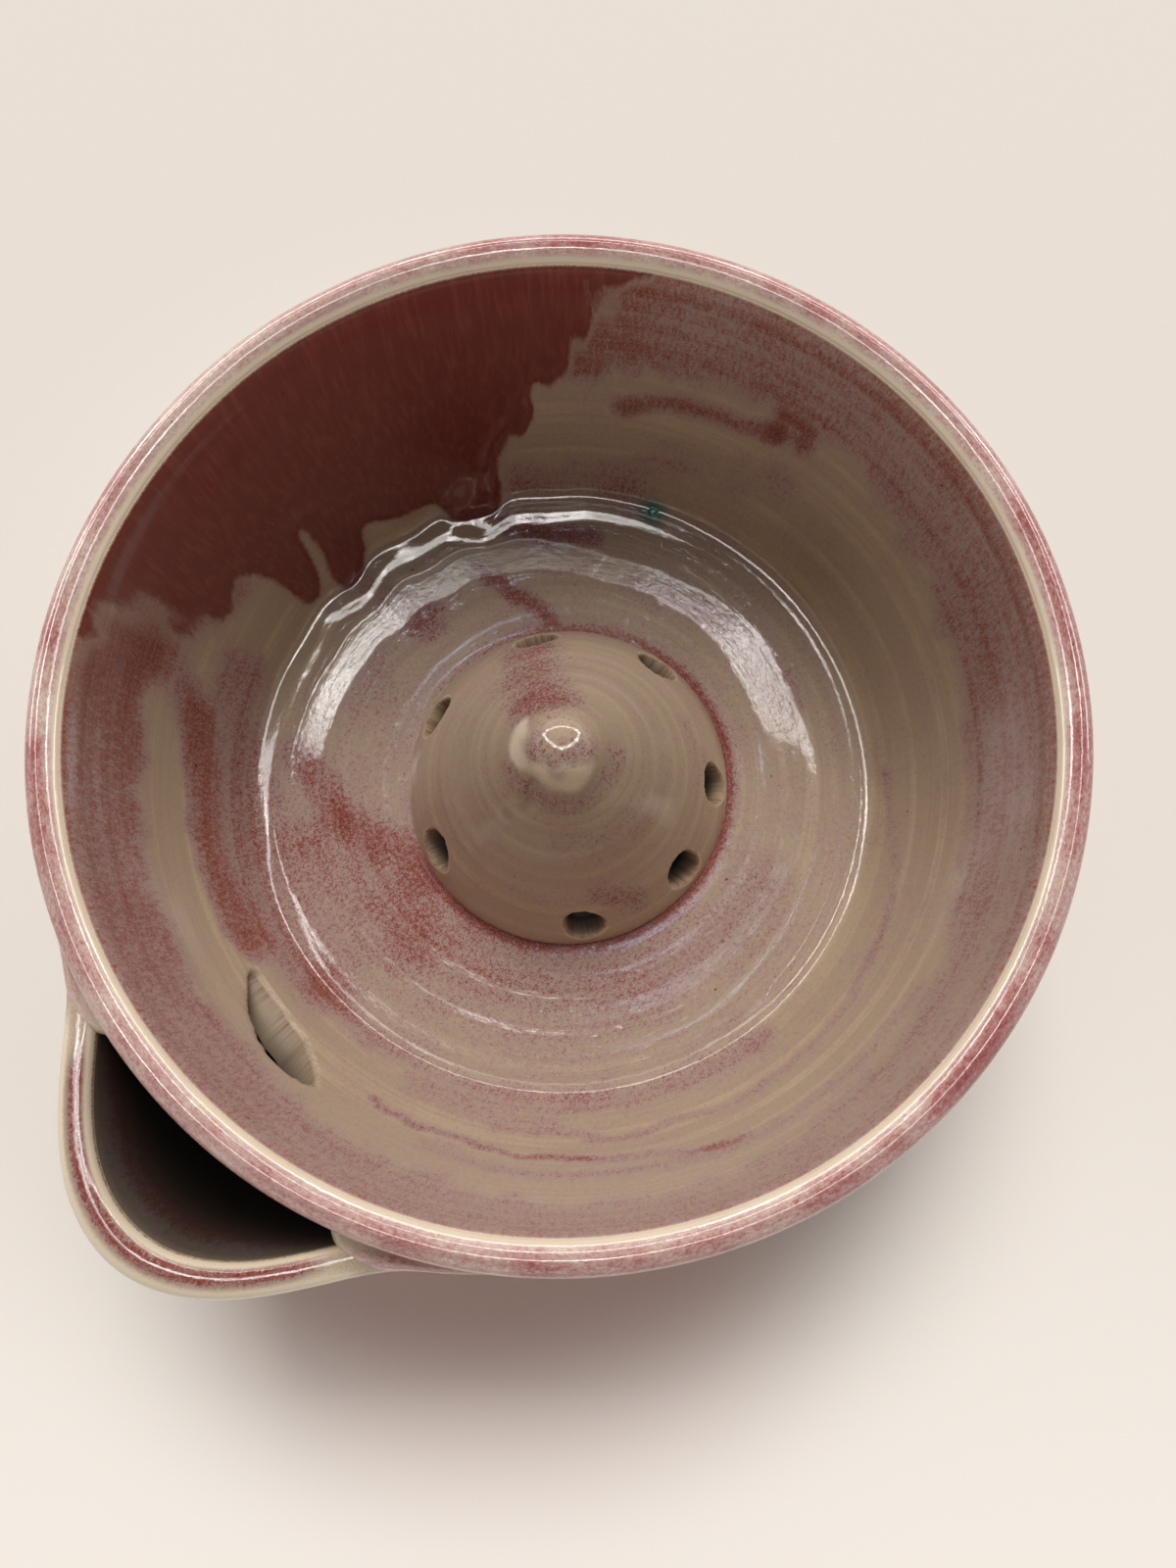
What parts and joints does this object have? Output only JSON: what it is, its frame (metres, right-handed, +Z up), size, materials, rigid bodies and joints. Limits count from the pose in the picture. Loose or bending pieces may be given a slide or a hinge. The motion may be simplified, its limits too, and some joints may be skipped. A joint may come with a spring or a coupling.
{
  "type": "berry bowl",
  "caption": "Double-walled stoneware bowl that drains through a hollow centre cone into its outer wall and pours from a pulled spout.",
  "frame": {"origin": "centre of the flat foot, on the bowl's turning axis", "axes": "+Z up out of the bowl, +X towards the spout"},
  "size_m": [0.2082, 0.1874, 0.0908],
  "materials": {
    "bare_clay": "bare fired stoneware, matt",
    "red_glaze": "glossy copper-red glaze, mottled",
    "grey_glaze": "glossy grey-beige glaze with red speckle",
    "cream_glaze": "glossy pale pink and cream glaze",
    "green_glass": "glossy green glass"
  },
  "bodies": {
    "root": {"foot": "bare_clay", "outer_bowl": "red_glaze", "spout": "red_glaze", "spout_shoulder_left": "cream_glaze", "spout_shoulder_right": "cream_glaze", "inner_bowl": "grey_glaze", "center_cone": "grey_glaze", "rim": "cream_glaze", "glaze_bead": "green_glass"}
  },
  "joints": []
}
